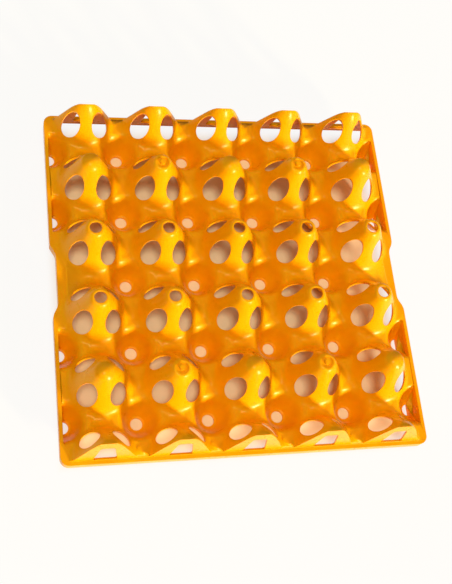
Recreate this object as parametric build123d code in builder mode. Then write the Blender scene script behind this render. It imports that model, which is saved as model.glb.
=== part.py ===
from build123d import *
from math import atan, atan2, degrees, sqrt
import os

# Egg tray moulded in one piece from thin glossy plastic.
# A flat web at a third of the height carries hollow cones, set like the squares of a chessboard:
# posts rise above it and pockets hang below it, so that each egg sits in a pocket between four posts.
# The cones, vents and holes are round on the real tray. There are more than two hundred of them, so
# each has a few flat sides here, and a higher count of sides makes them rounder.
# The origin is under the middle of the tray, on the plane of the pocket bottoms, with +Z up.
# The half posts stand along the two edges across Y, the half pockets along the two edges across X.

# Layout
pitch = 58.0                # from post to post, the same both ways
post_columns = 5
post_rows = 4               # rows of whole posts, without the half posts on the end edges
tray_height = 57.0
web_level = 20.5            # top of the flat web
wall = 1.6

# Flat sides that stand for a round
cone_sides = 16
vent_sides = 8
hole_sides = 10

# Posts and pockets
post_foot_radius = 24.4     # where a post rises from the web
post_top_radius = 7.2
post_hole = 9.6
pocket_mouth_radius = 15.4  # where a pocket opens in the web
pocket_floor_radius = 7.2
pocket_hole = 9.8
vent_radius = 8.2           # round vents through the posts, one towards each pocket
vent_reach = 17.4           # from the post's axis to the middle of a vent, in plan
vent_tilt = 12.4            # degrees that a vent's axis leans outwards from the vertical
gate_dimple_radius = 5.0
gate_dimple_depth = 0.9
gate_nub_radius = 2.2
gate_nub_height = 2.4       # from the floor of the dimple

# Rim
rim_reach = 4.0             # from the axes of the outer posts and pockets to the edge
rim_corner = 7.0
lip = 2.4                   # thickness of the rim's turned-down lip
lip_drop = 8.0              # from the top of the web to the foot of the lip
notch_depth = 4.4           # hand notches in the middle of the two side edges
notch_floor = 44.0
notch_mouth = 60.0
notch_round = 12.0

# End walls across the half posts, and side walls across the half pockets
end_wall_reach = 0.8        # from the half posts' axes out to the foot of the wall
end_wall_lean = 4.7         # how far the wall leans in by the top of the post
window_sill = 2.0           # up the wall from the web
window_rise = 17.0
window_foot = 17.0
window_head = 10.6
window_corner = 1.2
side_wall_reach = 1.0       # from the half pockets' axes out to the wall's inner face at the web
side_wall_lean = 1.4        # how far the wall leans in by the pocket's floor

overrun = 1.0               # how far cuts reach past the faces that they open

# Values worked out from those sizes
end_row = (post_rows + 1) * pitch / 2
side_row = post_columns * pitch / 2
tray_width = 2 * (side_row + rim_reach)
tray_depth = 2 * (end_row + rim_reach)
web_bottom = web_level - wall
web_middle = web_level - wall / 2
post_taper = (post_foot_radius - post_top_radius) / (tray_height - web_level)
pocket_taper = (pocket_mouth_radius - pocket_floor_radius) / (web_level - wall)
post_draft = degrees(atan(post_taper))
pocket_draft = degrees(atan(pocket_taper))
post_skin = wall * sqrt(1 + post_taper**2)
pocket_skin = wall * sqrt(1 + pocket_taper**2)
vent_level = web_level + (post_foot_radius - vent_reach) / post_taper
vent_length = tray_height - web_bottom + 2 * vent_radius
end_wall_tilt = degrees(atan2(end_wall_lean, tray_height - web_level))
side_wall_tilt = degrees(atan2(side_wall_lean, web_level - wall))
window_slope = degrees(atan2(window_rise, (window_foot - window_head) / 2))
notch_slope = degrees(atan2(notch_depth, (notch_mouth - notch_floor) / 2))


def whole_posts():
    """Places of the posts that stand clear of the edges."""
    return GridLocations(pitch, pitch, post_columns, post_rows)


def whole_pockets():
    """Places of the pockets that hang clear of the edges."""
    return GridLocations(pitch, pitch, post_columns - 1, post_rows + 1)


def end_post_line():
    """Places of the half posts along an end edge."""
    return GridLocations(pitch, pitch, post_columns, 1)


def side_pocket_line():
    """Places of the half pockets along a side edge, which has none at its hand notch."""
    steps = range(-post_rows // 2, post_rows // 2 + 1)
    return Locations([(0, step * pitch) for step in steps if step != 0])


def middle_posts():
    """Places of the posts in the two middle rows."""
    return GridLocations(pitch, pitch, post_columns, 2)


def gated_posts():
    """Places of the posts that carry a moulding gate, every second one in the outer rows."""
    return GridLocations(2 * pitch, (post_rows - 1) * pitch, 2, 2)


def both_edges():
    """The two opposite edges, half a turn apart."""
    return PolarLocations(0, 2)


def post_radius(level):
    """Outer radius of a post at a height above the pocket bottoms."""
    return post_foot_radius - (level - web_level) * post_taper


def pocket_radius(level):
    """Inner radius of a pocket at a height above the pocket bottoms."""
    return pocket_mouth_radius - (web_level - level) * pocket_taper


def round_face(radius, sides):
    """Face whose flat sides touch a circle, with the first of them square to the X axis."""
    return RegularPolygon(radius, sides, major_radius=False, rotation=180 / sides)


def cone(radius, draft, low, high):
    """Upright cone between two levels, which narrows upwards by a draft from its radius at the foot."""
    with BuildPart() as body:
        with BuildSketch(Plane.XY.offset(low)):
            round_face(radius, cone_sides)
        extrude(amount=high - low, taper=draft)
    return body.part


def end_wall(inset):
    """Plane of the wall across the half posts at +Y, moved in by an inset, facing out."""
    foot = Plane((0, end_row + end_wall_reach, web_level), x_dir=(-1, 0, 0), z_dir=(0, 1, 0))
    return foot.rotated((end_wall_tilt, 0, 0)).offset(-inset)


def side_wall(inset):
    """Plane of the wall across the half pockets at +X, moved in by an inset, facing out."""
    top = Plane((side_row + side_wall_reach, 0, web_level), x_dir=(0, 1, 0), z_dir=(1, 0, 0))
    return top.rotated((0, side_wall_tilt, 0)).offset(-inset)


# One post and the hollow inside it, then one pocket and its hollow, both drawn with the mouth down
post = cone(post_radius(web_middle), post_draft, web_middle, tray_height)
hollow_foot = web_bottom - overrun
post_hollow = cone(post_radius(hollow_foot) - post_skin, post_draft, hollow_foot, tray_height - wall)
pocket = cone(pocket_radius(web_middle) + pocket_skin, pocket_draft, -web_middle, 0)
hollow_mouth = web_level + overrun
pocket_hollow = cone(pocket_radius(hollow_mouth), pocket_draft, -hollow_mouth, -wall)
turned_over = (180, 0, 0)

# One vent, upright about its own middle
with BuildPart() as vent:
    with BuildSketch():
        round_face(vent_radius, vent_sides)
    extrude(amount=vent_length / 2, both=True)

# Half posts of the edge at +Y, solid, and the hollows inside them
with BuildPart() as end_posts:
    with Locations((0, end_row)), end_post_line():
        add(post)
    split(bisect_by=end_wall(0), keep=Keep.BOTTOM)

with BuildPart() as end_post_hollows:
    with Locations((0, end_row)), end_post_line():
        add(post_hollow)
    split(bisect_by=end_wall(wall), keep=Keep.BOTTOM)

# Windows through the end wall, narrower at the head
with BuildPart() as end_windows:
    with BuildSketch(end_wall(wall + overrun)) as window:
        with Locations((0, window_sill)), end_post_line():
            Trapezoid(window_foot, window_rise, window_slope, align=(Align.CENTER, Align.MIN))
        chamfer(window.vertices(), window_corner)
    extrude(amount=wall + 2 * overrun)

# Half pockets of the edge at +X, solid, then their hollows with the drain holes below
with BuildPart() as side_pockets:
    with Locations((side_row, 0)), side_pocket_line():
        add(pocket, rotation=turned_over)
    split(bisect_by=side_wall(-wall), keep=Keep.BOTTOM)

with BuildPart() as side_pocket_hollows:
    with Locations((side_row, 0)), side_pocket_line():
        add(pocket_hollow, rotation=turned_over)
    with BuildSketch(Plane.XY.offset(-overrun)):
        with Locations((side_row, 0)), side_pocket_line():
            round_face(pocket_hole / 2, hole_sides)
    extrude(amount=wall + 2 * overrun)
    split(bisect_by=side_wall(0), keep=Keep.BOTTOM)

with BuildPart() as tray:
    # Web and rim, with the hand notches and the turned-down lip
    with BuildSketch(Plane.XY.offset(web_bottom)) as outline:
        Rectangle(tray_width, tray_depth)
        fillet(outline.vertices(), rim_corner)
        with PolarLocations(tray_width / 2, 2):
            Trapezoid(
                notch_mouth,
                notch_depth,
                notch_slope,
                rotation=90,
                align=(Align.CENTER, Align.MIN),
                mode=Mode.SUBTRACT,
            )
        notch_ends = outline.vertices().filter_by_position(Axis.Y, -notch_mouth / 2, notch_mouth / 2)
        fillet(notch_ends, notch_round)
    extrude(amount=wall)
    with BuildSketch(Plane.XY.offset(web_level - lip_drop)):
        add(outline.sketch_local)
        offset(amount=-lip, mode=Mode.SUBTRACT)
    extrude(amount=lip_drop - wall / 2)

    # Posts above the web and pockets below it, first solid and then hollowed
    with whole_posts():
        add(post)
    with whole_pockets():
        add(pocket, rotation=turned_over)
    with both_edges():
        add(end_posts.part)
        add(side_pockets.part)
    with whole_posts():
        add(post_hollow, mode=Mode.SUBTRACT)
    with whole_pockets():
        add(pocket_hollow, rotation=turned_over, mode=Mode.SUBTRACT)
    with both_edges():
        add(end_post_hollows.part, mode=Mode.SUBTRACT)
        add(side_pocket_hollows.part, mode=Mode.SUBTRACT)
        add(end_windows.part, mode=Mode.SUBTRACT)

    # Drain holes in the pockets, and holes in the tops of the two middle rows of posts
    with BuildSketch(Plane.XY.offset(-overrun)):
        with whole_pockets():
            round_face(pocket_hole / 2, hole_sides)
    extrude(amount=wall + 2 * overrun, mode=Mode.SUBTRACT)
    with BuildSketch(Plane.XY.offset(tray_height + overrun)):
        with middle_posts():
            round_face(post_hole / 2, hole_sides)
    extrude(amount=-wall - 2 * overrun, mode=Mode.SUBTRACT)

    # Moulding gates on the outer rows: a nub in a dimple, on every second post
    with BuildSketch(Plane.XY.offset(tray_height)):
        with gated_posts():
            round_face(gate_dimple_radius, hole_sides)
    extrude(amount=-gate_dimple_depth, mode=Mode.SUBTRACT)
    with BuildSketch(Plane.XY.offset(tray_height - gate_dimple_depth)):
        with gated_posts():
            round_face(gate_nub_radius, hole_sides)
    extrude(amount=gate_nub_height)

    # Vents on the diagonals of the posts, each facing a pocket
    with Locations((0, 0, vent_level)), whole_posts(), PolarLocations(vent_reach, 4, start_angle=45):
        add(vent.part, rotation=(0, vent_tilt, 0), mode=Mode.SUBTRACT)
    with both_edges(), Locations((0, end_row, vent_level)), end_post_line():
        with PolarLocations(vent_reach, 2, start_angle=225, angular_range=90, endpoint=True):
            add(vent.part, rotation=(0, vent_tilt, 0), mode=Mode.SUBTRACT)

tray.part.label = "egg_tray"
os.makedirs("parts", exist_ok=True)
export_step(tray.part, "parts/egg_tray.step")
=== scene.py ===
import bpy
import numpy as np
from mathutils import Matrix, Vector


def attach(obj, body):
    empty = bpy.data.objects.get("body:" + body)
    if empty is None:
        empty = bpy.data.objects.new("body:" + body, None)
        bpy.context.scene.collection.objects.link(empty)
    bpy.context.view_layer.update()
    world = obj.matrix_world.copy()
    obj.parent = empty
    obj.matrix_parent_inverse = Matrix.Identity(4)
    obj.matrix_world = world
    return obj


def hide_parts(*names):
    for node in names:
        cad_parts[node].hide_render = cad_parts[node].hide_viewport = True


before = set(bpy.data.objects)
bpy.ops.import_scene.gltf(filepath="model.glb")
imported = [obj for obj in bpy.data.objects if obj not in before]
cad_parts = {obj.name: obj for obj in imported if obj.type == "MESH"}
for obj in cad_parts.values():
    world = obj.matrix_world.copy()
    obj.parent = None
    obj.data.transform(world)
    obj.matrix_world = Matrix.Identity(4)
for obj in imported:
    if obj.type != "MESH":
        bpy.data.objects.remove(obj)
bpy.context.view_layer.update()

scene = bpy.context.scene

# Tray: one thin injection moulding in glossy, slightly clear plastic. Hollow posts rise above a flat
# web and hollow pockets hang below it, all with the mould's soft edges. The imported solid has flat
# sides where the moulding is round, so its triangles are divided here and drawn out to the true form.
pitch = 0.058
wall = 0.0016
web_level = 0.0205
tray_height = 0.057
post_foot = 0.0244
post_top = 0.0072
pocket_mouth = 0.0154
pocket_floor = 0.0072
vent_radius = 0.0082
vent_reach = 0.0174
vent_tilt = np.radians(12.4)
drain_radius = 0.0049
top_hole_radius = 0.0048
gate_dimple_radius = 0.0050
gate_nub_radius = 0.0022
end_wall_foot = 0.1458
side_wall_top = 0.1460
end_wall_lean = 0.0047
packed_sill = 0.0020
packed_rise = 0.0170
packed_foot = 0.0170
packed_head = 0.0106
window_sill = 0.0004
window_rise = 0.0240
window_foot = 0.0182
window_head = 0.0106
soft_edge = 0.0034
sharp_edge = 1e-9
flat_side_depth = 0.0008
chord_depth = 0.00008
touching = 0.00005
close_by = 0.0001
post_taper = (post_foot - post_top) / (tray_height - web_level)
pocket_taper = (pocket_mouth - pocket_floor) / (web_level - wall)
vent_level = web_level + (post_foot - vent_reach) / post_taper
end_wall_tilt = np.arctan2(end_wall_lean, tray_height - web_level)

whole_steps = np.arange(-2, 3) * pitch
half_steps = np.arange(-2.5, 3) * pitch
post_places = np.array([(x, y) for x in whole_steps for y in half_steps])
pocket_places = np.array(
    [(x, y) for x in half_steps for y in whole_steps if abs(x) < 2 * pitch or y != 0]
)
top_hole_places = post_places[np.abs(post_places[:, 1]) < pitch]
gate_places = np.array([(x, y) for x in (-pitch, pitch) for y in (-1.5 * pitch, 1.5 * pitch)])
diagonals = np.array([(1, 1), (1, -1), (-1, 1), (-1, -1)]) / np.sqrt(2)


def upright_round(places, level, radius, taper, faces_out):
    """Cones about upright axes: their places, their radius at a level and how much it shrinks per rise."""
    foot = np.c_[places, np.full(len(places), level)]
    return foot, np.tile((0.0, 0.0, 1.0), (len(foot), 1)), radius, -taper, faces_out


def vent_round():
    """Cylinders through the posts: each axis crosses a post's face on a diagonal and leans out from it."""
    out = np.tile(diagonals, (len(post_places), 1))
    middle = np.c_[np.repeat(post_places, 4, axis=0) + vent_reach * out, np.full(len(out), vent_level)]
    axis = np.c_[np.sin(vent_tilt) * out, np.full(len(out), np.cos(vent_tilt))]
    return middle, axis, vent_radius, 0.0, -1


post_skin = wall * np.hypot(1, post_taper)
pocket_skin = wall * np.hypot(1, pocket_taper)
rounds = [
    upright_round(post_places, web_level, post_foot, post_taper, 1),
    upright_round(post_places, web_level, post_foot - post_skin, post_taper, -1),
    upright_round(pocket_places, web_level, pocket_mouth, -pocket_taper, -1),
    upright_round(pocket_places, web_level, pocket_mouth + pocket_skin, -pocket_taper, 1),
    vent_round(),
    upright_round(pocket_places, 0.0, drain_radius, 0.0, -1),
    upright_round(top_hole_places, tray_height, top_hole_radius, 0.0, -1),
    upright_round(gate_places, tray_height, gate_dimple_radius, 0.0, -1),
    upright_round(gate_places, tray_height, gate_nub_radius, 0.0, 1),
]


def away_from(points, near, shape):
    """Distance of points from a round surface, and the direction straight out from its axis.
    Each point takes the axis nearest in plan to its own near point. The distance is that from the
    axis less the radius there, measured square to the cone."""
    middle, axis, radius, slope, faces_out = shape
    nearest = np.argmin(((near[:, None, :2] - middle[None, :, :2]) ** 2).sum(2), axis=1)
    from_middle = points - middle[nearest]
    along = (from_middle * axis[nearest]).sum(1)
    across = from_middle - along[:, None] * axis[nearest]
    reach = np.maximum(np.linalg.norm(across, axis=1), 1e-9)
    lean = np.hypot(1, slope)
    out = (across / reach[:, None] - slope * axis[nearest]) / lean
    return (reach - radius - slope * along) / lean, out


def face_normals(points, faces):
    """Unit normal of each triangle, from the cross product of two of its sides."""
    a, b, c = (points[faces[:, i]] for i in range(3))
    cross = np.cross(b - a, c - a)
    return cross / np.maximum(np.linalg.norm(cross, axis=1), 1e-15)[:, None]


def rounds_of(points, faces):
    """Number of the round surface that each triangle stands for, or -1 where it is really flat.
    Its corners lie within a flat side's depth of that surface and it faces the same way."""
    middle = points[faces].mean(1)
    normal = face_normals(points, faces)
    family = np.full(len(faces), -1)
    for number, shape in enumerate(rounds):
        depth = [np.abs(away_from(points[faces[:, i]], middle, shape)[0]) for i in range(3)]
        out = away_from(middle, middle, shape)[1] * shape[4]
        family[(np.max(depth, axis=0) < flat_side_depth) & ((out * normal).sum(1) > 0.9)] = number
    return family


def held(count, owners, family, normal):
    """What a point may not leave: the round surfaces it lies on, and the flat faces that meet there.
    The flat faces give a matrix that takes out any step square to them."""
    on_round = np.zeros((count, len(rounds)), bool)
    square = np.zeros((count, 3, 3))
    curved = family >= 0
    flat = normal[~curved]
    for corner in owners.T:
        on_round[corner[curved], family[curved]] = True
        np.add.at(square, corner[~curved], flat[:, :, None] * flat[:, None, :])
    size, way = np.linalg.eigh(square)
    free = (size < 1e-3)[:, None, :] * way
    return on_round, free @ way.transpose(0, 2, 1)


def drawn_out(points, on_round, free):
    """Points moved onto every round surface they lie on, a surface at a time and over again,
    sliding only along the flat faces that they belong to."""
    moved = points.copy()
    for turn in range(8):
        for number, shape in enumerate(rounds):
            some = np.flatnonzero(on_round[:, number])
            depth, out = away_from(moved[some], points[some], shape)
            slide = np.einsum("nij,nj->ni", free[some], out)
            share = (slide * out).sum(1)
            step = np.where(share > 0.05, depth / np.maximum(share, 0.05), 0.0)
            moved[some] -= step[:, None] * slide
    return moved


def edges_of(faces):
    """The edges of triangles, each once as a pair of points, and the numbers of each triangle's three."""
    sides = np.sort(faces[:, [[0, 1], [1, 2], [2, 0]]].reshape(-1, 2), axis=1)
    count = faces.max() + 1
    key, edge_of = np.unique(sides[:, 0] * count + sides[:, 1], return_inverse=True)
    return np.c_[key // count, key % count], edge_of.reshape(-1, 3)


def split_at(points, faces, kinds, edge_of, split, new_points):
    """Triangles cut where some of their edges get a new point. One, two or three such edges make
    two, three or four triangles, which keep the kinds of the one they come from."""
    number = np.cumsum(split) - 1 + len(points)
    corners = np.c_[faces, number[edge_of]]
    pattern = split[edge_of] @ [1, 2, 4]
    pieces = {
        0: [(0, 1, 2)],
        1: [(0, 3, 2), (3, 1, 2)],
        2: [(0, 1, 4), (0, 4, 2)],
        3: [(3, 1, 4), (0, 3, 4), (0, 4, 2)],
        4: [(0, 1, 5), (5, 1, 2)],
        5: [(0, 3, 5), (3, 1, 2), (3, 2, 5)],
        6: [(4, 2, 5), (0, 1, 4), (0, 4, 5)],
        7: [(0, 3, 5), (3, 1, 4), (5, 4, 2), (3, 4, 5)],
    }
    cuts = [(np.flatnonzero(pattern == key), cut) for key, group in pieces.items() for cut in group]
    new_faces = np.concatenate([corners[rows][:, cut] for rows, cut in cuts])
    new_kinds = np.concatenate([kinds[rows] for rows, cut in cuts])
    return np.r_[points, new_points[split]], new_faces, new_kinds


def made_round(points, faces, family):
    """Splits each edge whose middle lies off its round surface by more than a chord's depth."""
    edges, edge_of = edges_of(faces)
    middle = points[edges].mean(1)
    on_round, free = held(len(edges), edge_of, family, face_normals(points, faces))
    moved = drawn_out(middle, on_round, free)
    split = np.linalg.norm(moved - middle, axis=1) > chord_depth
    return split_at(points, faces, family, edge_of, split, moved)


def reach_from(x_steps, y_steps, points):
    """Distance in plan from each point to the nearest axis of a grid."""
    across = np.abs(points[:, None, 0] - x_steps).min(1)
    along = np.abs(points[:, None, 1] - y_steps).min(1)
    return np.hypot(across, along)


def post_reach(points, depth):
    """Distance in plan from each point to the axis of the nearest post, a pitch outside the end walls."""
    outside = np.abs(points[:, 1]) > end_wall_foot - depth
    return np.where(outside, pitch, reach_from(whole_steps, half_steps, points))


def half_post_reach(points, depth):
    """Distance in plan from each point to the axis of the nearest half post, a pitch for all others."""
    return np.where(np.abs(points[:, 1]) > 2 * pitch, post_reach(points, depth), pitch)


def pocket_reach(points, depth):
    """Distance in plan from each point to the axis of the nearest pocket, a pitch outside the side walls
    and at the hand notches, where a side has no pocket."""
    outside = np.abs(points[:, 0]) > side_wall_top + depth
    at_notch = (np.abs(points[:, 0]) > 2 * pitch) & (np.abs(points[:, 1]) < pitch / 2)
    return np.where(outside | at_notch, pitch, reach_from(half_steps, whole_steps, points))


def rounded_max(a, b, width):
    """The higher of two heights, with a parabola where they are closer than a width."""
    return np.maximum(a, b) + np.maximum(width - np.abs(a - b), 0) ** 2 / (4 * width)


def rounded_min(a, b, width):
    """The lower of two heights, with a parabola where they are closer than a width."""
    return -rounded_max(-a, -b, width)


def skin_height(points, depth, width):
    """Height of the moulding's skin above a place in plan, at a depth of nought for the upper skin
    and of the wall for the lower one. The posts' cones are capped by their flat tops and rise out of
    the web, and the pockets' cones sink from it to their floors. Their tops and floors are rounded over
    a width, the edges at the web over twice as much, and the tops of the half posts over four times."""
    inside_foot = post_foot - depth * np.hypot(1, post_taper) - post_reach(points, depth)
    post = web_level + inside_foot / post_taper
    past_mouth = pocket_reach(points, depth) - pocket_mouth - depth * np.hypot(1, pocket_taper)
    pocket = web_level + past_mouth / pocket_taper
    top_width = np.where(np.abs(points[:, 1]) > 2 * pitch, 4, 1) * width
    raised = rounded_max(web_level - depth, rounded_min(tray_height - depth, post, top_width), 2 * width)
    return rounded_min(raised, rounded_max(wall - depth, pocket, width), 2 * width)


def on_skin(points, depth):
    """Whether each point touches the moulding's skin at a depth, as it is before its edges are rounded."""
    return np.abs(points[:, 2] - skin_height(points, depth, sharp_edge)) < touching


def ringed(points, faces, kinds, depth, reach, radius):
    """Cuts the skin at a depth along the circles of a radius about the posts or the pockets."""
    edges, edge_of = edges_of(faces)
    skin = on_skin(points, depth)
    usable = np.zeros(len(edges), bool)
    usable[edge_of[skin[faces].all(1)]] = True
    past = reach(points, depth) - radius
    start, end = past[edges[:, 0]], past[edges[:, 1]]
    near = np.minimum(np.abs(start), np.abs(end)) < close_by
    split = usable & (start * end < 0) & ~near
    share = np.where(split, start / np.where(split, start - end, 1), 0)
    crossing = points[edges[:, 0]] + share[:, None] * (points[edges[:, 1]] - points[edges[:, 0]])
    crossing[:, 2] = np.where(usable, skin_height(crossing, depth, sharp_edge), crossing[:, 2])
    return split_at(points, faces, kinds, edge_of, split, crossing)


def opened_windows(points):
    """Points of the end walls' windows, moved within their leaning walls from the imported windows' size
    to the real one. A point keeps its share of the rise, and its share of the width at that height."""
    side = np.sign(points[:, 1])
    across = points[:, 0] - whole_steps[np.abs(points[:, None, 0] - whole_steps).argmin(1)]
    outward = points[:, 1] * side - end_wall_foot
    upward = points[:, 2] - web_level
    up = upward * np.cos(end_wall_tilt) - outward * np.sin(end_wall_tilt)
    out = outward * np.cos(end_wall_tilt) + upward * np.sin(end_wall_tilt)
    share = (up - packed_sill) / packed_rise
    half_width = packed_foot / 2 + share * (packed_head - packed_foot) / 2
    inside = (share > -0.01) & (share < 1.01) & (np.abs(across) < half_width + close_by)
    inside &= (out > -wall - close_by) & (out < close_by)
    step = np.where(inside, window_sill + share * window_rise - up, 0)
    widened = (window_foot + share * (window_head - window_foot)) / 2 / half_width
    moved = points.copy()
    moved[:, 0] += np.where(inside, across * (widened - 1), 0)
    moved[:, 1] -= side * step * np.sin(end_wall_tilt)
    moved[:, 2] += step * np.cos(end_wall_tilt)
    return moved


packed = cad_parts["egg_tray"].data
packed.calc_loop_triangles()
packed_points = np.empty(len(packed.vertices) * 3)
packed.vertices.foreach_get("co", packed_points)
packed_faces = np.empty(len(packed.loop_triangles) * 3, int)
packed.loop_triangles.foreach_get("vertices", packed_faces)
packed_points = packed_points.reshape(-1, 3)
_, first, joined = np.unique(np.round(packed_points, 6), axis=0, return_index=True, return_inverse=True)
tray_points = packed_points[first]
tray_faces = joined.reshape(-1)[packed_faces].reshape(-1, 3)
ends = np.sort(tray_faces, axis=1)
tray_faces = tray_faces[(ends[:, 0] < ends[:, 1]) & (ends[:, 1] < ends[:, 2])]
tray_family = rounds_of(tray_points, tray_faces)
on_round, free = held(len(tray_points), tray_faces, tray_family, face_normals(tray_points, tray_faces))
tray_points = opened_windows(drawn_out(tray_points, on_round, free))
for turn in range(3):
    tray_points, tray_faces, tray_family = made_round(tray_points, tray_faces, tray_family)
upper_rings = (0.0, (-2, -1, 1, 2), (-3, -2, 2, 3, 4))
lower_rings = (wall, (-2, 2), (-3, 3))
for depth, web_rings, half_post_rings in (upper_rings, lower_rings):
    post_shift = depth * (np.hypot(1, post_taper) - post_taper)
    pocket_shift = depth * (np.hypot(1, pocket_taper) - pocket_taper)
    post_step = soft_edge * post_taper
    pocket_step = soft_edge * pocket_taper
    rings = [(post_reach, post_foot - post_shift + share * post_step) for share in web_rings]
    rings += [(post_reach, post_top - post_shift + share * post_step) for share in (-1, 1)]
    rings += [(half_post_reach, post_top - post_shift + share * post_step) for share in half_post_rings]
    rings += [(pocket_reach, pocket_mouth + pocket_shift + share * pocket_step) for share in web_rings]
    for reach, circle in rings:
        tray_points, tray_faces, tray_family = ringed(
            tray_points, tray_faces, tray_family, depth, reach, circle
        )
skin = np.full(len(tray_faces), -1)
for number, depth in enumerate((0.0, wall)):
    skin[on_skin(tray_points, depth)[tray_faces].all(1)] = number
least_rise = 0.1
rising = np.abs(face_normals(tray_points, tray_faces)[:, 2])
skin[rising < least_rise] = -1
for number, depth in enumerate((0.0, wall)):
    some = np.unique(tray_faces[skin == number])
    tray_points[some, 2] = skin_height(tray_points[some], depth, soft_edge)

tray_mesh = bpy.data.meshes.new("moulded_tray")
tray_mesh.from_pydata(tray_points.tolist(), [], tray_faces.tolist())
tray_mesh.update()

# Shading: the edges of holes, walls and lip stay crisp. Elsewhere a corner's direction is that of the
# true surface there, square to the skin's slope or straight out from a hole's axis.
crisp_bend = np.radians(14)
edges, edge_of = edges_of(tray_faces)
surface = np.where(skin >= 0, len(rounds) + skin, tray_family)
normal = face_normals(tray_points, tray_faces)
highest = np.full(len(edges), -2)
lowest = np.full(len(edges), 2 * len(rounds))
np.maximum.at(highest, edge_of, surface[:, None])
np.minimum.at(lowest, edge_of, surface[:, None])
normal_sum = np.zeros((len(edges), 3))
np.add.at(normal_sum, edge_of, normal[:, None, :])
bend = np.linalg.norm(normal_sum, axis=1)
crisp = (highest != lowest) | ((highest < 0) & (bend < 2 * np.cos(crisp_bend)))
key = edges[:, 0] * len(tray_points) + edges[:, 1]
order = np.argsort(key)
mesh_edges = np.empty(len(tray_mesh.edges) * 2, int)
tray_mesh.edges.foreach_get("vertices", mesh_edges)
mesh_edges = np.sort(mesh_edges.reshape(-1, 2), axis=1)
mesh_key = mesh_edges[:, 0] * len(tray_points) + mesh_edges[:, 1]
found = order[np.searchsorted(key[order], mesh_key)]
sharp = tray_mesh.attributes.new("sharp_edge", "BOOLEAN", "EDGE")
sharp.data.foreach_set("value", crisp[found])

corner_normal = np.zeros((len(tray_faces), 3, 3))
middle = tray_points[tray_faces].mean(1)
for number, shape in enumerate(rounds):
    some = surface == number
    for corner in range(3):
        out = away_from(tray_points[tray_faces[some, corner]], middle[some], shape)[1]
        corner_normal[some, corner] = out * shape[4]
small_step = 0.00002
for number, depth in enumerate((0.0, wall)):
    rise = np.zeros((len(tray_points), 3))
    rise[:, 2] = 1
    for way in range(2):
        step = np.eye(3)[way] * small_step
        ahead = skin_height(tray_points + step, depth, soft_edge)
        behind = skin_height(tray_points - step, depth, soft_edge)
        rise[:, way] = (behind - ahead) / (2 * small_step)
    rise *= (1 - 2 * number) / np.linalg.norm(rise, axis=1)[:, None]
    corner_normal[skin == number] = rise[tray_faces[skin == number]]
tray_mesh.normals_split_custom_set(corner_normal.reshape(-1, 3))

tray = bpy.data.objects.new("moulded_tray", tray_mesh)
scene.collection.objects.link(tray)

plastic = bpy.data.materials.new("yellow_plastic")
plastic.use_nodes = True
nodes = plastic.node_tree.nodes
links = plastic.node_tree.links
shader = nodes["Principled BSDF"]
shader.inputs["IOR"].default_value = 1.49
shader.inputs["Specular IOR Level"].default_value = 0.3
shader.inputs["Specular Tint"].default_value = (1.0, 0.8, 0.3, 1)
shader.inputs["Subsurface Weight"].default_value = 0.3
shader.inputs["Subsurface Radius"].default_value = (1.0, 0.5, 0.1)
shader.inputs["Subsurface Scale"].default_value = 0.0006
place = nodes.new("ShaderNodeTexCoord")


def mottle(scale, detail):
    """Soft cloudy pattern over the tray, so many clouds to the metre."""
    noise = nodes.new("ShaderNodeTexNoise")
    noise.inputs["Scale"].default_value = scale
    noise.inputs["Detail"].default_value = detail
    links.new(place.outputs["Object"], noise.inputs["Vector"])
    return noise.outputs["Fac"]


tone = nodes.new("ShaderNodeValToRGB")
tone.color_ramp.elements[0].position = 0.3
tone.color_ramp.elements[0].color = (0.99, 0.35, 0.0, 1)
tone.color_ramp.elements[1].position = 0.7
tone.color_ramp.elements[1].color = (1.0, 0.4, 0.001, 1)
links.new(mottle(35, 3), tone.inputs["Fac"])
links.new(tone.outputs["Color"], shader.inputs["Base Color"])
gloss = nodes.new("ShaderNodeMapRange")
gloss.inputs["To Min"].default_value = 0.22
gloss.inputs["To Max"].default_value = 0.36
links.new(mottle(160, 4), gloss.inputs["Value"])
links.new(gloss.outputs["Result"], shader.inputs["Roughness"])
soft_rim = nodes.new("ShaderNodeBevel")
soft_rim.samples = 6
soft_rim.inputs["Radius"].default_value = 0.0006
ripple = nodes.new("ShaderNodeBump")
ripple.inputs["Strength"].default_value = 0.12
ripple.inputs["Distance"].default_value = 0.0002
links.new(mottle(420, 2), ripple.inputs["Height"])
links.new(soft_rim.outputs["Normal"], ripple.inputs["Normal"])
links.new(ripple.outputs["Normal"], shader.inputs["Normal"])
tray_mesh.materials.append(plastic)
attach(tray, "root")
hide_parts("egg_tray")

# Floor: a plain pale cream table top that the tray stands on, far wider than the picture.
# Around the tray it shows as white to the camera and in gloss, and keeps a faint shadow.
floor_half = 2.5
floor_mesh = bpy.data.meshes.new("table_top")
floor_corners = np.array([(-1, -1, 0), (1, -1, 0), (1, 1, 0), (-1, 1, 0)]) * floor_half
floor_mesh.from_pydata(floor_corners.tolist(), [], [(0, 1, 2, 3)])
floor = bpy.data.objects.new("table_top", floor_mesh)
scene.collection.objects.link(floor)
cream = bpy.data.materials.new("cream_table")
cream.use_nodes = True
nodes = cream.node_tree.nodes
links = cream.node_tree.links
shade = nodes["Principled BSDF"]
shade.inputs["Roughness"].default_value = 0.7
white = nodes.new("ShaderNodeEmission")
white.inputs["Color"].default_value = (1, 1, 1, 1)
place = nodes.new("ShaderNodeTexCoord")
apart = nodes.new("ShaderNodeSeparateXYZ")
links.new(place.outputs["Object"], apart.inputs[0])


def table_maths(operation, first, second):
    """A maths node of the table's material, on two sockets or a socket and a number."""
    node = nodes.new("ShaderNodeMath")
    node.operation = operation
    links.new(first, node.inputs[0])
    if isinstance(second, (int, float)):
        node.inputs[1].default_value = second
    else:
        links.new(second, node.inputs[1])
    return node.outputs[0]


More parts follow.
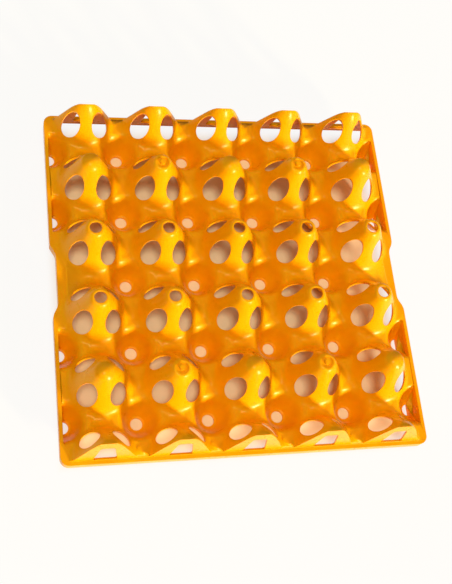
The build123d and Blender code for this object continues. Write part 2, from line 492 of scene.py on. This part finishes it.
side_reach = table_maths("ABSOLUTE", apart.outputs["X"], 0)
end_reach = table_maths("ABSOLUTE", apart.outputs["Y"], 0)
clear = nodes.new("ShaderNodeMapRange")
clear.interpolation_type = "SMOOTHSTEP"
links.new(table_maths("MAXIMUM", side_reach, end_reach), clear.inputs["Value"])
clear.inputs["From Min"].default_value = 0.128
clear.inputs["From Max"].default_value = 0.152
clear.inputs["To Max"].default_value = 0.9
shade.inputs["Base Color"].default_value = (0.97, 0.8, 0.42, 1)
path = nodes.new("ShaderNodeLightPath")
seen = table_maths("MAXIMUM", path.outputs["Is Camera Ray"], path.outputs["Is Glossy Ray"])
seen = table_maths("MAXIMUM", seen, path.outputs["Is Transmission Ray"])
whitened = nodes.new("ShaderNodeMixShader")
links.new(table_maths("MULTIPLY", seen, clear.outputs["Result"]), whitened.inputs["Fac"])
links.new(shade.outputs["BSDF"], whitened.inputs[1])
links.new(white.outputs["Emission"], whitened.inputs[2])
links.new(whitened.outputs["Shader"], nodes["Material Output"].inputs["Surface"])
floor_mesh.materials.append(cream)

# Light: a lamp low at the front right, a softer one high at the front left, and pale surroundings.
# Together they give a level surface about as much light as shows its colour as it is.
scene.view_settings.view_transform = "Standard"
world = bpy.data.worlds.new("pale_room")
scene.world = world
world.use_nodes = True
world.node_tree.nodes["Background"].inputs["Color"].default_value = (1, 1, 1, 1)
world.node_tree.nodes["Background"].inputs["Strength"].default_value = 0.3


def far_lamp(name, turn, rise, energy, width):
    """Far lamp at a turn from +X towards +Y and a rise above the floor, seen as wide as an angle."""
    turn, rise = np.radians(turn), np.radians(rise)
    way = Vector((np.cos(rise) * np.cos(turn), np.cos(rise) * np.sin(turn), np.sin(rise)))
    data = bpy.data.lights.new(name, "SUN")
    data.energy = energy
    data.angle = np.radians(width)
    lamp = bpy.data.objects.new(name, data)
    lamp.rotation_euler = way.to_track_quat("Z", "Y").to_euler()
    scene.collection.objects.link(lamp)


far_lamp("key_lamp", -55, 14, 4.2, 6)
far_lamp("soft_box", -122, 74, 1.3, 14)

# Camera: high over the front left corner, at the photograph's angle, turned a little to the side.
# Its lens is for a sensor as long as the picture is high.
camera_data = bpy.data.cameras.new("camera")
camera_data.sensor_width = 36.0
camera_data.lens = 60.0
camera = bpy.data.objects.new("camera", camera_data)
right = Vector((0.9668, -0.1068, 0.2323))
up = Vector((0.0180, 0.9347, 0.3549))
back = Vector((-0.2551, -0.3390, 0.9056))
turn = Matrix((right, up, back)).transposed()
camera.matrix_world = Matrix.Translation((-0.2122, -0.2857, 0.7483)) @ turn.to_4x4()
scene.collection.objects.link(camera)
scene.camera = camera
